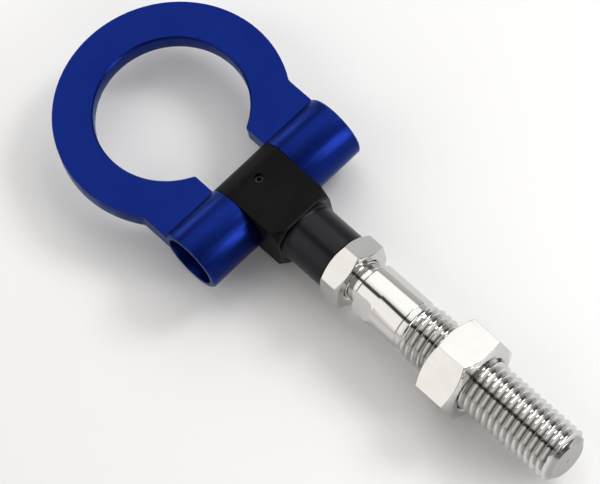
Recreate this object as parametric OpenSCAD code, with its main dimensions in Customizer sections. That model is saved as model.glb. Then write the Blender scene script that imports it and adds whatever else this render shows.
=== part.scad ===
// Folding tow eye: a forked ring on a hinge block, with a threaded stud and its two nuts.
// The stud lies along X with its thread starting at the origin, the hinge axis is along Y
// and the ring plate is flat across Z. Sizes are in millimetres.

/* [Ring] */
// Outer diameter of the ring plate
ring_od = 76; // [74:0.5:84]
// Diameter of the eye
ring_id = 50; // [44:0.5:54]
// Thickness of the ring plate
ring_t = 6.5; // [5:0.5:9]
// Distance from the hinge axis to the centre of the eye
ring_reach = 41.4; // [40:0.1:46]
// Width of the slot that takes the hinge block
slot_w = 22.4; // [20:0.1:24]
// Chamfer round the eye
eye_chamfer = 0.6; // [0.3:0.1:1]
// Radius where the ring meets the straight root
root_fillet = 3; // [2:0.5:4]
// Rounding of the corners where the eye opens into the slot
slot_round = 1.5; // [1:0.25:2]

/* [Hinge barrels] */
// Diameter of the barrels and of the knuckle between them
barrel_d = 22; // [20:0.5:24]
// Length over both barrels
barrel_len = 64; // [62:1:66]
// Diameter of the recess in each barrel end
recess_d = 18; // [16:0.5:19]
// Depth of the recess in each barrel end
recess_depth = 4; // [2:0.5:6]
// Chamfer round the barrel ends
barrel_chamfer = 0.6; // [0.3:0.1:1]

/* [Hinge pin] */
// Diameter of the pin
pin_d = 12; // [10:0.5:13]
// Radial clearance of the ring on the pin
pin_clearance = 0.05; // [0.03:0.01:0.1]
// Gap between the pin end and the floor of the recess
pin_setback = 1; // [0.5:0.5:3]

/* [Hinge block] */
// Gap between each cheek of the block and the slot
cheek_gap = 0.2; // [0.1:0.05:0.3]
// Hinge axis to the flat end of the square body
shoulder_x = 19.6; // [18:0.2:22]
// Chamfer turned on the corners of the square body
shoulder_run = 3.1; // [2:0.1:4]
// Diameter of the neck
neck_d = 20; // [18:0.5:21]
// Radius of the fillet at the foot of the neck
neck_fillet = 0.8; // [0.4:0.1:1.6]
// Hinge axis to the end of the neck
neck_end = 36.2; // [32:0.2:40]
// Hinge axis to the bottom of the threaded hole
socket_x = 14; // [12:0.5:16]

/* [Set screw] */
// Diameter of the set screw
screw_d = 3; // [2.5:0.5:4]
// Depth of the screw below the top of the block
screw_sink = 1.4; // [0.5:0.1:2]
// Across flats of the key socket
key_af = 1.5; // [1:0.1:2]

/* [Stud] */
// Hinge axis to the start of the coarse thread
hinge_to_thread = 70; // [64:1:80]
// Diameter of the hidden threaded end
spigot_d = 14; // [12:0.5:14]
// Diameter of the relief between the jam nut and the shank
relief_d = 13.6; // [11:0.1:14]
// Hinge axis to the start of the shank
shank_start = 48; // [46:0.5:50]
// Diameter of the shank
shank_d = 18; // [17:0.1:18.5]
// Hinge axis to the end of the shank
shank_end = 66.7; // [64:0.1:68]
// Diameter of the collar between the shank and the thread
collar_d = 17.4; // [16.5:0.1:18]
// Across the two wrench flats
wrench_af = 15.6; // [15:0.1:17]
// Length of the wrench flats
wrench_len = 8; // [6:0.5:12]
// Turn of the wrench flats about the stud, from the top of the part
wrench_turn = 68; // [0:1:90]

/* [Coarse thread] */
// Diameter over the thread crests
thread_d = 19.05; // [18.5:0.05:19.5]
// Pitch of the thread
pitch = 2.54; // [2:0.01:3]
// Number of full thread turns
turns = 24; // [16:1:28]
// Diameter of the flat face at the tip
tip_d = 13.4; // [11:0.1:15]
// Length of the cone at the tip
tip_len = 2.4; // [1.5:0.1:3.5]

/* [Nuts] */
// Across flats of the lock nut on the coarse thread
lock_af = 27; // [26:0.5:30]
// Height of the lock nut
lock_h = 15; // [12:0.5:18]
// Distance from the start of the thread to the lock nut
lock_x = 11; // [1:0.5:40]
// Turn of a lock nut corner about the stud, from the top of the part
lock_turn = 13; // [0:0.5:30]
// Diameter of the flat faces of the lock nut
lock_face = 24; // [22:0.2:26.6]
// Across flats of the jam nut against the neck
jam_af = 21; // [20:0.5:24]
// Height of the jam nut
jam_h = 7.8; // [6:0.2:9]
// Turn of a jam nut flat about the stud, from the top of the part
jam_turn = 24.5; // [0:0.5:30]
// Diameter of the flat faces of the jam nut
jam_face = 20.8; // [18:0.2:20.8]
// Radial clearance of each nut on its thread
nut_clearance = 0.05; // [0.03:0.01:0.1]

/* [Hidden] */
$fn = 96;
cut = 1;
eye_r = ring_id / 2;
ring_r = ring_od / 2;
barrel_r = barrel_d / 2;
half_len = barrel_len / 2;
pin_r = pin_d / 2;
block_w = slot_w - 2 * cheek_gap;
block_h = barrel_d;
screw_top = barrel_r - screw_sink;
pin_len = barrel_len - 2 * (recess_depth + pin_setback);
crest_r = thread_d / 2;
// Depth and crest width of a 60 degree thread
thread_depth = 0.6134 * pitch;
root_r = crest_r - thread_depth;
crest_w = pitch / 8;
root_w = pitch / 4;
thread_len = turns * pitch;
stud_end = thread_len + 1.74;
spigot_clear = 0.05;

// Moves what is measured from the hinge axis into the frame of the part
module at_hinge() {
  translate([-hinge_to_thread, 0, 0]) children();
}

// Turns an outline of radius against length about the stud axis
module turned() {
  rotate([0, 90, 0]) rotate_extrude() children();
}

// Hexagon along X from x = 0, one corner at the top, both faces chamfered at 30 degrees
module chamfered_hex(af, h, face_d) {
  face_r = face_d / 2;
  corner_r = af / sqrt(3) + 0.5;
  drop = (corner_r - face_r) * tan(30);
  intersection() {
    rotate([0, 90, 0]) cylinder(r = af / sqrt(3), h = h, $fn = 6);
    turned() polygon([
      [0, 0], [face_r, 0], [corner_r, drop], [corner_r, h - drop], [face_r, h], [0, h]
    ]);
  }
}

// Plain bore along X with a countersink at both ends
module nut_bore(r, h) {
  sink = 0.8;
  turned() polygon([
    [0, -cut], [r + sink + cut, -cut], [r, sink], [r, h - sink], [r + sink + cut, h + cut], [0, h + cut]
  ]);
}

// Cylinder along Y with chamfered ends
module cross_bar(r, length, chamfer) {
  rotate([90, 0, 0]) rotate_extrude() polygon([
    [0, -length / 2], [r - chamfer, -length / 2], [r, chamfer - length / 2],
    [r, length / 2 - chamfer], [r - chamfer, length / 2], [0, length / 2]
  ]);
}

// Concave web on one side where the ring meets the straight root
module root_web() {
  f = root_fillet;
  cx = sqrt((ring_r + f) ^ 2 - (half_len + f) ^ 2);
  touch = ring_r / (ring_r + f);
  difference() {
    polygon([[cx, half_len], [cx * touch, (half_len + f) * touch], [cx * touch - f, half_len - f]]);
    translate([cx, half_len + f]) circle(r = f + 0.02);
  }
}

// Outline of the plate about the centre of the eye
module plate_outline() {
  circle(r = ring_r);
  translate([0, -half_len]) square([ring_reach, barrel_len]);
  root_web();
  mirror([0, 1]) root_web();
}

// What is cut away to round one corner of the slot mouth
module mouth_corner() {
  g = slot_round;
  cx = sqrt((eye_r + g) ^ 2 - (slot_w / 2 + g) ^ 2);
  touch = eye_r / (eye_r + g);
  difference() {
    polygon([
      [cx, slot_w / 2 + g], [cx * touch, (slot_w / 2 + g) * touch],
      [cx * touch - g, slot_w / 2 - g], [cx, slot_w / 2 - g]
    ]);
    translate([cx, slot_w / 2 + g]) circle(r = g);
  }
}

module tow_ring() {
  color("#1d2f8f") at_hinge() difference() {
    union() {
      translate([-ring_reach, 0, -ring_t / 2]) linear_extrude(ring_t) plate_outline();
      cross_bar(barrel_r, barrel_len, barrel_chamfer);
    }
    translate([-ring_reach, 0, -barrel_r - cut]) linear_extrude(barrel_d + 2 * cut) {
      circle(r = eye_r);
      mouth_corner();
      mirror([0, 1]) mouth_corner();
      translate([0, -slot_w / 2]) square([ring_reach + barrel_d, slot_w]);
    }
    for (side = [0, 180]) {
      translate([-ring_reach, 0, 0]) rotate([side, 0, 0]) translate([0, 0, ring_t / 2 - eye_chamfer])
        cylinder(r1 = eye_r, r2 = eye_r + eye_chamfer + cut, h = eye_chamfer + cut);
      rotate([90 + side, 0, 0]) translate([0, 0, half_len - recess_depth])
        cylinder(d = recess_d, h = recess_depth + cut);
    }
    rotate([90, 0, 0]) cylinder(r = pin_r + pin_clearance, h = barrel_len + cut, center = true);
  }
}

// Turned outline that the square block is cut to: corner chamfer, flat end, fillet and neck
module block_turning() {
  corner_r = norm([block_w, block_h]) / 2;
  cone_start = shoulder_x - shoulder_run;
  neck_r = neck_d / 2;
  foot_r = neck_r + neck_fillet;
  foot_x = shoulder_x + neck_fillet;
  turned() difference() {
    polygon([
      [0, -barrel_d], [corner_r + cut, -barrel_d], [corner_r + cut, cone_start],
      [corner_r, cone_start], [corner_r - shoulder_run, shoulder_x],
      [foot_r, shoulder_x], [foot_r, shoulder_x + 0.001],
      [neck_r + 0.001, foot_x], [neck_r, foot_x],
      [neck_r, neck_end - 0.5], [neck_r - 0.5, neck_end], [0, neck_end]
    ]);
    translate([foot_r, foot_x]) circle(r = neck_fillet);
  }
}

module hinge_block() {
  color("#1a1b1b") at_hinge() difference() {
    intersection() {
      union() {
        rotate([90, 0, 0]) cylinder(r = barrel_r, h = block_w, center = true);
        translate([0, -block_w / 2, -block_h / 2]) cube([neck_end, block_w, block_h]);
      }
      block_turning();
    }
    rotate([90, 0, 0]) cylinder(r = pin_r + 0.02, h = block_w + cut, center = true);
    translate([socket_x, 0, 0]) rotate([0, 90, 0]) cylinder(r = spigot_d / 2 + spigot_clear, h = neck_end);
    cylinder(r = screw_d / 2 + 0.02, h = barrel_r + cut);
    translate([0, 0, barrel_r - 0.3]) cylinder(r1 = screw_d / 2, r2 = screw_d / 2 + 1, h = 1);
  }
}

module hinge_pin() {
  color("#8d9094") at_hinge() cross_bar(pin_r, pin_len, 0.8);
}

module set_screw() {
  color("#2c2d2e") at_hinge() difference() {
    translate([0, 0, pin_r]) cylinder(d = screw_d, h = screw_top - pin_r);
    translate([0, 0, screw_top - 1.5]) cylinder(r = key_af / sqrt(3), h = 1.5 + cut, $fn = 6);
  }
}

module jam_nut() {
  color("#d3d5d8") at_hinge() translate([neck_end, 0, 0]) difference() {
    rotate([jam_turn + 30, 0, 0]) chamfered_hex(jam_af, jam_h, jam_face);
    nut_bore(spigot_d / 2 + nut_clearance, jam_h);
  }
}

// Length-wise outline of the stud behind the coarse thread, from the hidden end
module shank_outline() {
  polygon([
    [0, socket_x], [spigot_d / 2 - 1, socket_x], [spigot_d / 2, socket_x + 1],
    [spigot_d / 2, neck_end + jam_h], [relief_d / 2, neck_end + jam_h + 0.2],
    [relief_d / 2, shank_start], [shank_d / 2 - 0.8, shank_start],
    [shank_d / 2, shank_start + 0.8], [shank_d / 2, shank_end - 0.3],
    [collar_d / 2, shank_end], [collar_d / 2, hinge_to_thread - 0.4],
    [root_r, hinge_to_thread], [0, hinge_to_thread]
  ]);
}

// Outline of the crests along the thread, one after another
module thread_outline() {
  flank = (pitch - crest_w - root_w) / 2;
  polygon(concat(
    [[0, -cut], [root_r, -cut]],
    [
      for (i = [0:turns - 1], p = [
        [root_r, root_w / 2], [crest_r, root_w / 2 + flank],
        [crest_r, root_w / 2 + flank + crest_w], [root_r, pitch - root_w / 2]
      ]) [p[0], p[1] + i * pitch]
    ],
    [[root_r, stud_end], [0, stud_end]]
  ));
}

module stud() {
  color("#d3d5d8") difference() {
    union() {
      at_hinge() difference() {
        turned() shank_outline();
        for (side = [0, 180]) rotate([wrench_turn + side, 0, 0])
          translate([shank_start - cut, -shank_d / 2, wrench_af / 2])
            cube([wrench_len + cut, shank_d, shank_d]);
      }
      intersection() {
        turned() thread_outline();
        turned() polygon([
          [0, -2 * cut], [crest_r + cut, -2 * cut], [crest_r + cut, stud_end - tip_len - 0.5],
          [tip_d / 2, stud_end], [0, stud_end]
        ]);
      }
    }
    translate([stud_end - 0.7, 0, 0]) rotate([0, 90, 0]) cylinder(r1 = 0, r2 = 1.4, h = 1.2);
  }
}

module lock_nut() {
  color("#d3d5d8") translate([lock_x, 0, 0]) difference() {
    rotate([lock_turn, 0, 0]) chamfered_hex(lock_af, lock_h, lock_face);
    nut_bore(crest_r + nut_clearance, lock_h);
  }
}

tow_ring();
hinge_block();
hinge_pin();
set_screw();
jam_nut();
stud();
lock_nut();
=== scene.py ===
"""Looks of the folding tow eye: finishes, broken edges, the stud's true thread, floor and light."""

import math

import bmesh
import bpy
from mathutils import Matrix, Vector


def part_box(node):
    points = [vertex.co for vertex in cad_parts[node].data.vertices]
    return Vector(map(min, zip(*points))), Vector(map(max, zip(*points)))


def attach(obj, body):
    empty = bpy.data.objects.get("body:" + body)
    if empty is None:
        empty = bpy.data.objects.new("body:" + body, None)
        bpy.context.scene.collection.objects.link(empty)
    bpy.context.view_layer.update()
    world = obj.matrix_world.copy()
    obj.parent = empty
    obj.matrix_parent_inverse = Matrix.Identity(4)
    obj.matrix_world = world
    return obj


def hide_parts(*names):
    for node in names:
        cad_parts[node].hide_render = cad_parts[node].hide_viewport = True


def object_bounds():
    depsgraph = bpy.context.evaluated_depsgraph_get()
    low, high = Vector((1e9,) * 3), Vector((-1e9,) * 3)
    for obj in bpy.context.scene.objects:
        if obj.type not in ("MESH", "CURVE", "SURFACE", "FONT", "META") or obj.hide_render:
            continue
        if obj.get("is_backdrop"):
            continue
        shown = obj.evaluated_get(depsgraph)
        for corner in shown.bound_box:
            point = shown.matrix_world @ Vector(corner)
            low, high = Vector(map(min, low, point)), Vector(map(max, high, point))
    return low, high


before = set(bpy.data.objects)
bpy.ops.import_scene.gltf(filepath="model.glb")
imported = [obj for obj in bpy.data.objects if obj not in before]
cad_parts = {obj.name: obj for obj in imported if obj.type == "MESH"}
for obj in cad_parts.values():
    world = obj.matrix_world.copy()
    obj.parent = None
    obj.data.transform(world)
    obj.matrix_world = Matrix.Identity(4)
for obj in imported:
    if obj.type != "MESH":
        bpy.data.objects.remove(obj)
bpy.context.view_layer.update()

MM = 0.001

# Stations and radii of the stud, from the CAD nodes and the driving sizes of the part
HINGE_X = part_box("hinge_pin")[0].x + 6 * MM
STUD_START, STUD_END = (corner.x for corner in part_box("stud"))
CREST_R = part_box("stud")[1].y
THREAD_START = 0.0
RUN_IN = 2.4 * MM
PITCH = 2.54 * MM
THREAD_DEPTH = 0.6134 * PITCH
ROOT_R = CREST_R - THREAD_DEPTH
SPIGOT_R = 7.0 * MM
RELIEF_R = 6.8 * MM
RELIEF_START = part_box("jam_nut")[1].x
NECK_START = HINGE_X + 19.6 * MM
SHANK_START = HINGE_X + 48 * MM
SHANK_END = HINGE_X + 66.7 * MM
SHANK_R = 9.0 * MM
SHANK_EDGE = 0.8 * MM
COLLAR_R = 8.7 * MM
TIP_R = 6.7 * MM
TIP_SLOPE = 1.3
MARK_R = 0.8 * MM
MARK_DEPTH = 0.7 * MM
WRENCH_HALF = 7.8 * MM
WRENCH_END = SHANK_START + 8 * MM
WRENCH_TURN = math.radians(68)
CUTTER_R = 2.2 * MM

# Thread profile: distance from the crest as a share of half a pitch, and height over the root
CREST_END = 0.34
CREST_DROP = 0.2
ROOT_START = 0.9
ROOT_RISE = 0.06
# Shares of a turn at which the thread has a row of points, close together over the crest
THREAD_SHARES = (0.0, 0.05, 0.19, 0.33, 0.38, 0.44, 0.5, 0.56, 0.62, 0.67, 0.81, 0.95)

# Fineness of the meshes, and how near two points count as one
ROUND_STEPS = 128
WELD = 1e-7
SMOOTH_UNDER = math.radians(24)
BEVEL_OVER = math.radians(28)

# The block's finish changes from dull to sheen over this stretch, at the start of the neck
SHEEN_START, SHEEN_END = NECK_START - 0.8 * MM, NECK_START

# Camera, fitted to the photograph's frame
CAMERA_AIM = Vector((-49.4, -4.0, 0.0)) * MM
CAMERA_FROM = Vector((0.385, -0.219, 0.897))
CAMERA_DISTANCE = 1.498
CAMERA_ROLL = math.radians(-16.2)
CAMERA_LENS = 290.5

FLOOR_HALF = 4.0
FLOOR_COLOUR = (0.88, 0.88, 0.88)

# Studio overhead, round the stud's axis: angle from straight up towards +Y in degrees, and colour.
# Two long soft boxes with a dark seam between them, and a dim room down to the floor.
STUDIO = (
    (-180, (0.25, 0.24, 0.23)),
    (-98, (0.3, 0.29, 0.28)),
    (-84, (0.72, 0.69, 0.66)),
    (-72, (0.96, 0.92, 0.88)),
    (-27, (0.93, 0.9, 0.88)),
    (-23, (0.05, 0.05, 0.05)),
    (-12, (0.05, 0.05, 0.05)),
    (-8, (0.75, 0.75, 0.74)),
    (4, (1.06, 1.06, 1.04)),
    (55, (1.1, 1.09, 1.07)),
    (62, (0.35, 0.35, 0.34)),
    (70, (0.4, 0.4, 0.39)),
    (90, (0.5, 0.5, 0.5)),
    (180, (0.3, 0.3, 0.3)),
)
STUDIO_STRENGTH = 1.5
# How far the soft boxes reach along the stud: X of the direction, and the share of their light there
STUDIO_REACH = ((-1, 0.22), (-0.8, 0.18), (-0.58, 1), (-0.18, 1), (0.2, 0.38), (1, 0.23))

# Soft boxes near the part: name, place, target, width and height, radiance
LAMPS = (
    ("key_box", (0.12, 0.75, 0.7), (-0.05, 0, 0), (0.3, 0.3), 12),
    ("right_box", (0.36, 0.17, 0.2), (-0.07, 0.03, 0), (0.14, 0.26), 6),
    ("left_box", (-0.38, 0.02, 0.08), (-0.07, -0.03, 0), (0.2, 0.1), 2.5),
)


def smoothstep(t):
    """0 below 0, 1 above 1, and a smooth step between them."""
    t = min(1.0, max(0.0, t))
    return t * t * (3 - 2 * t)


class Finish:
    """A Principled material that is built up node by node."""

    def __init__(self, name, **sockets):
        self.material = bpy.data.materials.new(name)
        self.material.use_nodes = True
        self.nodes = self.material.node_tree.nodes
        self.links = self.material.node_tree.links
        self.shader = self.nodes["Principled BSDF"]
        for socket, value in sockets.items():
            self.shader.inputs[socket.replace("_", " ")].default_value = value
        self.place = self.nodes.new("ShaderNodeTexCoord").outputs["Object"]
        self.normal = None

    def noise(self, scale, detail=3.0, stretch=(1, 1, 1)):
        """Noise in the part's own frame, drawn out along an axis by stretch."""
        mapping = self.nodes.new("ShaderNodeMapping")
        mapping.inputs["Scale"].default_value = stretch
        self.links.new(self.place, mapping.inputs["Vector"])
        noise = self.nodes.new("ShaderNodeTexNoise")
        noise.inputs["Scale"].default_value = scale
        noise.inputs["Detail"].default_value = detail
        self.links.new(mapping.outputs["Vector"], noise.inputs["Vector"])
        return noise.outputs["Fac"]

    def spread(self, value, low, high, socket, from_low=0.3, from_high=0.7):
        """Sends a value to a number socket, as low at from_low and as high at from_high."""
        ramp = self.nodes.new("ShaderNodeMapRange")
        ramp.inputs["From Min"].default_value = from_low
        ramp.inputs["From Max"].default_value = from_high
        ramp.inputs["To Min"].default_value = low
        ramp.inputs["To Max"].default_value = high
        self.links.new(value, ramp.inputs["Value"])
        self.links.new(ramp.outputs["Result"], self.shader.inputs[socket])

    def tint(self, value, dark, light, from_low=0.3, from_high=0.7):
        """Varies the base colour between two colours."""
        ramp = self.nodes.new("ShaderNodeValToRGB")
        ramp.color_ramp.elements[0].position = from_low
        ramp.color_ramp.elements[0].color = (*dark, 1)
        ramp.color_ramp.elements[1].position = from_high
        ramp.color_ramp.elements[1].color = (*light, 1)
        self.links.new(value, ramp.inputs["Fac"])
        self.links.new(ramp.outputs["Color"], self.shader.inputs["Base Color"])

    def along_x(self, start, end, added, share):
        """0 before start and 1 after end along the part, with a share of another value on top."""
        split = self.nodes.new("ShaderNodeSeparateXYZ")
        self.links.new(self.place, split.inputs["Vector"])
        return self.step(split.outputs["X"], start, end, added, share)

    def off_axis(self, start, end, added, share):
        """0 nearer the stud's axis than start and 1 beyond end, with a share of another value on top."""
        across = self.nodes.new("ShaderNodeVectorMath")
        across.operation = "MULTIPLY"
        across.inputs[1].default_value = (0, 1, 1)
        self.links.new(self.place, across.inputs[0])
        distance = self.nodes.new("ShaderNodeVectorMath")
        distance.operation = "LENGTH"
        self.links.new(across.outputs["Vector"], distance.inputs[0])
        return self.step(distance.outputs["Value"], start, end, added, share)

    def step(self, value, start, end, added, share):
        """0 where a value is at start and 1 where it is at end, with a share of another value on top."""
        step = self.nodes.new("ShaderNodeMapRange")
        step.inputs["From Min"].default_value = start
        step.inputs["From Max"].default_value = end
        self.links.new(value, step.inputs["Value"])
        total = self.nodes.new("ShaderNodeMath")
        total.operation = "MULTIPLY_ADD"
        self.links.new(added, total.inputs[0])
        total.inputs[1].default_value = share
        self.links.new(step.outputs["Result"], total.inputs[2])
        return total.outputs["Value"]

    def bump(self, value, depth):
        """Adds a relief of that depth in metres to those already there."""
        bump = self.nodes.new("ShaderNodeBump")
        bump.inputs["Distance"].default_value = depth
        self.links.new(value, bump.inputs["Height"])
        if self.normal is not None:
            self.links.new(self.normal, bump.inputs["Normal"])
        self.normal = bump.outputs["Normal"]
        self.links.new(self.normal, self.shader.inputs["Normal"])


def blue_anodised():
    """Satin blue dye over blasted aluminium."""
    finish = Finish("blue_anodised", Metallic=0.93, Roughness=0.3)
    finish.shader.inputs["Specular Tint"].default_value = (0.7, 0.8, 1.0, 1)
    finish.tint(finish.noise(60), (0.003, 0.0125, 0.135), (0.0042, 0.0155, 0.152))
    finish.spread(finish.noise(900, 4), 0.27, 0.36, "Roughness")
    finish.bump(finish.noise(5200, 2), 0.000012)
    return finish.material


def black_satin():
    """Blackened steel: the milled square body is dull, and the turned neck has more sheen."""
    finish = Finish("black_satin", Roughness=0.35, Specular_IOR_Level=0.07)
    neck = finish.along_x(SHEEN_START, SHEEN_END, finish.noise(90), 0.3)
    finish.tint(neck, (0.0018, 0.0018, 0.0019), (0.022, 0.022, 0.025), 0.1, 1.15)
    finish.spread(neck, 0.0, 1.0, "Metallic", 0.3, 1.0)
    fine_neck = finish.along_x(SHEEN_START, SHEEN_END, finish.noise(1400, 4), 0.4)
    finish.spread(fine_neck, 0.46, 0.28, "Roughness", 0.0, 1.4)
    finish.bump(finish.noise(4200, 2), 0.00001)
    return finish.material


def black_oxide():
    """Blackened set screw."""
    finish = Finish("black_oxide", Metallic=0.6, Roughness=0.35)
    finish.tint(finish.noise(400), (0.02, 0.02, 0.021), (0.035, 0.035, 0.036))
    finish.spread(finish.noise(1800, 4), 0.28, 0.45, "Roughness")
    return finish.material


def bright_chrome(name, roughness, wave, threaded=False):
    """Plated steel: near mirror, with faint waves and fine wear, and a painted shade that darkens the thread
    towards its roots.
    """
    finish = Finish(name, Metallic=1.0, Roughness=roughness)
    if threaded:
        shank = finish.along_x(SHANK_END + 0.1 * MM, SHANK_END, finish.noise(120), 0.1)
        # Painted shade: the base colour darkens from the crests down to the thread roots, while the shank
        # stays light.
        groove_shade = finish.off_axis(ROOT_R, 8.8 * MM, shank, 1.0)
        finish.tint(groove_shade, (0.36, 0.357, 0.35), (0.61, 0.605, 0.59), 0.05, 1.05)
    else:
        finish.tint(finish.noise(120), (0.59, 0.585, 0.57), (0.63, 0.625, 0.61))
    finish.spread(finish.noise(1100, 5), roughness * 0.7, roughness * 1.5, "Roughness")
    finish.bump(finish.noise(160, 2), wave)
    return finish.material


def ground_steel():
    """Bare ground steel of the hinge pin."""
    finish = Finish("ground_steel", Metallic=1.0, Roughness=0.3)
    finish.tint(finish.noise(200), (0.42, 0.42, 0.43), (0.5, 0.5, 0.51))
    finish.spread(finish.noise(2600, 4, (1, 0.1, 1)), 0.22, 0.4, "Roughness")
    return finish.material


def thread_height(turn):
    """Height over the root, 0 to 1, at a share of a turn: rounded crest, straight flanks, narrow root."""
    u = abs((turn % 1.0) - 0.5) * 2
    if u < CREST_END:
        return 1 - CREST_DROP * (u / CREST_END) ** 2
    if u < ROOT_START:
        flank = (u - CREST_END) / (ROOT_START - CREST_END)
        return 1 - CREST_DROP - (1 - CREST_DROP - ROOT_RISE) * flank
    return ROOT_RISE * (1 - u) / (1 - ROOT_START)


def thread_radius(x, turn):
    """Radius of the thread at x: it grows out of the collar and is cut by the cone at the tip."""
    full = CREST_R - THREAD_DEPTH * (1 - thread_height(turn))
    grown = COLLAR_R + (full - COLLAR_R) * smoothstep((x - THREAD_START + RUN_IN) / (1.6 * PITCH))
    return min(grown, TIP_R + (STUD_END - x) * TIP_SLOPE)


def circle(mesh, x, radius):
    """One round ring of points about the stud's axis."""
    ring = []
    for i in range(ROUND_STEPS):
        angle = 2 * math.pi * i / ROUND_STEPS
        ring.append(mesh.verts.new((x, radius * math.cos(angle), radius * math.sin(angle))))
    return ring


def join_rings(mesh, first, second):
    """A band of faces between two rings of as many points."""
    count = len(first)
    for i in range(count):
        j = (i + 1) % count
        mesh.faces.new((first[i], first[j], second[j], second[i]))


def shank_ring(mesh, x, radius, width, cut, flat_steps=16, round_steps=56):
    """One ring of the shank. Each wrench flat has that half width, and lies on the cylinder where not cut."""
    ring = []
    for side in range(2):
        middle = math.pi / 2 + WRENCH_TURN + side * math.pi
        across = Vector((math.cos(middle), math.sin(middle)))
        along = Vector((-math.sin(middle), math.cos(middle)))
        for i in range(flat_steps + 1):
            offset = width * (2 * i / flat_steps - 1)
            height = WRENCH_HALF if cut else math.sqrt(radius ** 2 - offset ** 2)
            spot = across * height + along * offset
            ring.append(mesh.verts.new((x, spot.x, spot.y)))
        half = math.asin(width / radius)
        for i in range(round_steps + 1):
            angle = middle + half + (math.pi - 2 * half) * i / round_steps
            ring.append(mesh.verts.new((x, radius * math.cos(angle), radius * math.sin(angle))))
    return ring


def shank_rows():
    """Rows of the stud from its hidden end to the collar: x, radius, half width of the flats, cut or not."""
    full = math.sqrt(SHANK_R ** 2 - WRENCH_HALF ** 2)
    rows = []
    # The hidden end with its chamfer, the relief groove, and the fillet from it to the shank
    for x, radius in (
        (STUD_START, SPIGOT_R - MM),
        (STUD_START + 0.9 * MM, SPIGOT_R - 0.1 * MM),
        (STUD_START + MM, SPIGOT_R),
        (RELIEF_START - 0.1 * MM, SPIGOT_R),
        (RELIEF_START + 0.1 * MM, RELIEF_R),
        (SHANK_START - 0.5 * MM, RELIEF_R),
        (SHANK_START - 0.35 * MM, RELIEF_R + 0.03 * MM),
        (SHANK_START - 0.15 * MM, RELIEF_R + 0.12 * MM),
        (SHANK_START - 0.03 * MM, RELIEF_R + 0.3 * MM),
        (SHANK_START, RELIEF_R + 0.5 * MM),
    ):
        rows.append((x, radius, full * 0.5, False))
    # The rounded edge where the shank starts, cut by the flats
    edge_steps = 6
    for step in range(edge_steps + 1):
        t = math.pi / 2 * step / edge_steps
        radius = SHANK_R - SHANK_EDGE * (1 - math.sin(t))
        width = math.sqrt(radius ** 2 - WRENCH_HALF ** 2)
        rows.append((SHANK_START + SHANK_EDGE * (1 - math.cos(t)), radius, width, True))
    # The end of the flats, rounded in plan by the cutter
    cutter_steps = 9
    for step in range(cutter_steps + 1):
        t = math.pi / 2 * step / cutter_steps
        x = WRENCH_END + CUTTER_R * (math.sin(t) - 1)
        rows.append((x, SHANK_R, full - CUTTER_R * (1 - math.cos(t)), True))
    rows.append((WRENCH_END, SHANK_R, full - CUTTER_R, False))
    # The plain shank, its rounded end and the collar
    for x, radius in (
        (WRENCH_END + 0.2 * MM, SHANK_R),
        (SHANK_END - 0.5 * MM, SHANK_R),
        (SHANK_END - 0.3 * MM, SHANK_R - 0.03 * MM),
        (SHANK_END - 0.12 * MM, SHANK_R - 0.12 * MM),
        (SHANK_END - 0.05 * MM, COLLAR_R + 0.08 * MM),
        (SHANK_END, COLLAR_R),
        (SHANK_END + 0.2 * MM, COLLAR_R),
        (THREAD_START - RUN_IN, COLLAR_R),
    ):
        rows.append((x, radius, full, False))
    return rows


def shank_mesh(mesh):
    """The stud behind its thread, as rings from the hidden end to the collar."""
    previous = None
    for row in shank_rows():
        ring = shank_ring(mesh, *row)
        if previous:
            join_rings(mesh, previous, ring)
        else:
            mesh.faces.new(list(reversed(ring)))
        previous = ring
    mesh.faces.new(previous)
    bmesh.ops.remove_doubles(mesh, verts=mesh.verts, dist=WELD)
    bmesh.ops.dissolve_degenerate(mesh, edges=mesh.edges, dist=WELD)


def thread_mesh(mesh):
    """A right-hand helix: every row follows the thread, and closes onto the row one turn ahead."""
    turns = math.ceil((STUD_END - THREAD_START) / PITCH) + 1
    rows = []
    for turn in range(-2, turns):
        for share in THREAD_SHARES:
            row = []
            for i in range(ROUND_STEPS):
                angle = 2 * math.pi * i / ROUND_STEPS
                x = THREAD_START + PITCH * (turn + share + i / ROUND_STEPS)
                x = min(STUD_END, max(THREAD_START - RUN_IN, x))
                r = thread_radius(x, share)
                row.append(mesh.verts.new((x, r * math.cos(angle), r * math.sin(angle))))
            rows.append(row)
    ahead = len(THREAD_SHARES)
    for k in range(len(rows) - 1):
        near, far = rows[k], rows[k + 1]
        for i in range(ROUND_STEPS):
            if i + 1 < ROUND_STEPS:
                mesh.faces.new((near[i], near[i + 1], far[i + 1], far[i]))
            elif k + 1 + ahead < len(rows):
                mesh.faces.new((near[i], rows[k + ahead][0], rows[k + 1 + ahead][0], far[i]))
    bmesh.ops.remove_doubles(mesh, verts=mesh.verts, dist=WELD)


def tip_mesh(mesh):
    """The flat tip with its small centre mark, and the disc that closes the thread behind."""
    mark = circle(mesh, STUD_END, MARK_R)
    join_rings(mesh, circle(mesh, STUD_END, TIP_R), mark)
    centre = mesh.verts.new((STUD_END - MARK_DEPTH, 0, 0))
    for i in range(ROUND_STEPS):
        mesh.faces.new((mark[i], mark[(i + 1) % ROUND_STEPS], centre))
    mesh.faces.new(list(reversed(circle(mesh, THREAD_START - RUN_IN, COLLAR_R))))


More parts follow.
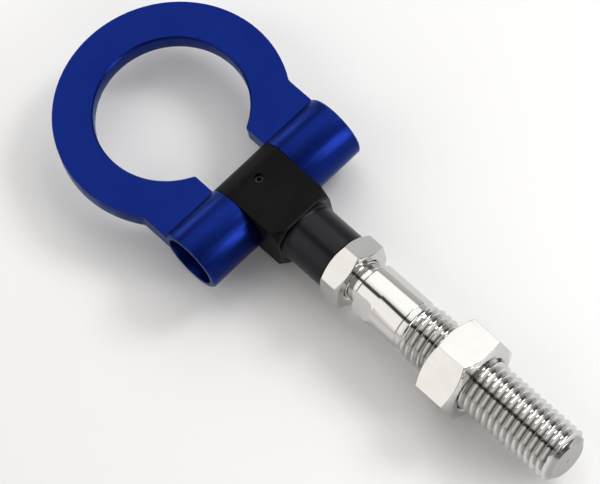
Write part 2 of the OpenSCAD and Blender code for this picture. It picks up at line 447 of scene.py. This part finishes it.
def turned_stud():
    """The stud with its true thread, in place of the CAD node with closed crests."""
    mesh = bmesh.new()
    thread_mesh(mesh)
    tip_mesh(mesh)
    bmesh.ops.remove_doubles(mesh, verts=mesh.verts, dist=WELD)
    shank = bmesh.new()
    shank_mesh(shank)
    shank_data = bpy.data.meshes.new("shank")
    shank.to_mesh(shank_data)
    shank.free()
    mesh.from_mesh(shank_data)
    bpy.data.meshes.remove(shank_data)
    bmesh.ops.recalc_face_normals(mesh, faces=mesh.faces)
    data = bpy.data.meshes.new("turned_stud")
    mesh.to_mesh(data)
    mesh.free()
    stud = bpy.data.objects.new("turned_stud", data)
    bpy.context.scene.collection.objects.link(stud)
    smooth_by_angle(stud, SMOOTH_UNDER)
    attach(stud, "shaft")
    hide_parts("stud")
    return stud


def smooth_by_angle(piece, limit):
    """Smooth shading, with edges sharper than the angle kept hard."""
    for face in piece.data.polygons:
        face.use_smooth = True
    mesh = bmesh.new()
    mesh.from_mesh(piece.data)
    for edge in mesh.edges:
        edge.smooth = not (len(edge.link_faces) == 2 and edge.calc_face_angle(0) > limit)
    mesh.to_mesh(piece.data)
    mesh.free()


def break_edges(piece, width):
    """Welds the tessellated node and rounds its sharp edges by a small radius."""
    weld = piece.modifiers.new("weld", "WELD")
    weld.merge_threshold = 1e-6
    bevel = piece.modifiers.new("broken_edges", "BEVEL")
    bevel.width = width
    bevel.segments = 3
    bevel.limit_method = "ANGLE"
    bevel.angle_limit = BEVEL_OVER
    bevel.harden_normals = True


def paint(piece, material):
    """Gives a piece that one material."""
    piece.data.materials.clear()
    piece.data.materials.append(material)


def dress(node, material, edge):
    """Paints a CAD node and breaks its edges by that width."""
    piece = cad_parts[node]
    paint(piece, material)
    break_edges(piece, edge)


def floor():
    """The pale floor, level with the lowest point of the part."""
    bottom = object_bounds()[0].z
    corners = [(-1, -1), (1, -1), (1, 1), (-1, 1)]
    data = bpy.data.meshes.new("floor")
    data.from_pydata([(FLOOR_HALF * x, FLOOR_HALF * y, bottom) for x, y in corners], [], [(0, 1, 2, 3)])
    ground = bpy.data.objects.new("floor", data)
    bpy.context.scene.collection.objects.link(ground)
    finish = Finish("pale_floor", Roughness=0.9)
    finish.shader.inputs["Base Color"].default_value = (*FLOOR_COLOUR, 1)
    paint(ground, finish.material)
    ground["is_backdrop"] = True


def soft_light(name, spot, target, size, radiance):
    """A soft box at a spot, facing a target, as bright as that radiance."""
    lamp = bpy.data.lights.new(name, "AREA")
    lamp.shape = "RECTANGLE"
    lamp.size, lamp.size_y = size
    lamp.energy = radiance * math.pi * size[0] * size[1]
    holder = bpy.data.objects.new(name, lamp)
    holder.location = spot
    holder.rotation_mode = "QUATERNION"
    holder.rotation_quaternion = (Vector(spot) - Vector(target)).to_track_quat("Z", "Y")
    bpy.context.scene.collection.objects.link(holder)


def stops_ramp(nodes, links, value, low, high, stops):
    """Colours at stops between low and high, looked up by a value."""
    share = nodes.new("ShaderNodeMapRange")
    share.inputs["From Min"].default_value = low
    share.inputs["From Max"].default_value = high
    links.new(value, share.inputs["Value"])
    ramp = nodes.new("ShaderNodeValToRGB")
    elements = ramp.color_ramp.elements
    elements.remove(elements[1])
    elements[0].position, elements[0].color = 0.0, (*stops[0][1], 1)
    for spot, colour in stops[1:]:
        elements.new((spot - low) / (high - low)).color = (*colour, 1)
    links.new(share.outputs["Result"], ramp.inputs["Fac"])
    return ramp.outputs["Color"]


def studio_world():
    """Light from all round: its colour by the angle about the stud, its strength by the reach along it."""
    world = bpy.data.worlds.new("studio")
    bpy.context.scene.world = world
    world.use_nodes = True
    nodes, links = world.node_tree.nodes, world.node_tree.links
    background = nodes["Background"]
    split = nodes.new("ShaderNodeSeparateXYZ")
    links.new(nodes.new("ShaderNodeTexCoord").outputs["Generated"], split.inputs["Vector"])
    angle = nodes.new("ShaderNodeMath")
    angle.operation = "ARCTAN2"
    links.new(split.outputs["Y"], angle.inputs[0])
    links.new(split.outputs["Z"], angle.inputs[1])
    around = [(math.radians(degrees), colour) for degrees, colour in STUDIO]
    colour = stops_ramp(nodes, links, angle.outputs["Value"], -math.pi, math.pi, around)
    links.new(colour, background.inputs["Color"])
    along = [(x, [share * STUDIO_STRENGTH] * 3) for x, share in STUDIO_REACH]
    strength = stops_ramp(nodes, links, split.outputs["X"], -1, 1, along)
    links.new(strength, background.inputs["Strength"])


def camera():
    """The camera at the photograph's angle."""
    eye = bpy.data.cameras.new("camera")
    eye.lens = CAMERA_LENS
    eye.sensor_width = 36
    eye.clip_start, eye.clip_end = 0.05, 20
    holder = bpy.data.objects.new("camera", eye)
    back = CAMERA_FROM.normalized()
    holder.location = CAMERA_AIM + back * CAMERA_DISTANCE
    holder.rotation_mode = "QUATERNION"
    roll = Matrix.Rotation(CAMERA_ROLL, 4, back).to_quaternion()
    holder.rotation_quaternion = roll @ back.to_track_quat("Z", "Y")
    bpy.context.scene.collection.objects.link(holder)
    bpy.context.scene.camera = holder


camera()
chrome_nut = bright_chrome("chrome_nut", 0.12, 0.000003)
dress("tow_ring", blue_anodised(), 0.45 * MM)
dress("hinge_block", black_satin(), 0.3 * MM)
dress("hinge_pin", ground_steel(), 0.2 * MM)
dress("set_screw", black_oxide(), 0.1 * MM)
dress("jam_nut", chrome_nut, 0.3 * MM)
dress("lock_nut", chrome_nut, 0.4 * MM)
paint(turned_stud(), bright_chrome("chrome_stud", 0.08, 0.000001, threaded=True))

floor()
studio_world()
for lamp in LAMPS:
    soft_light(*lamp)
bpy.context.scene.view_settings.view_transform = "Standard"
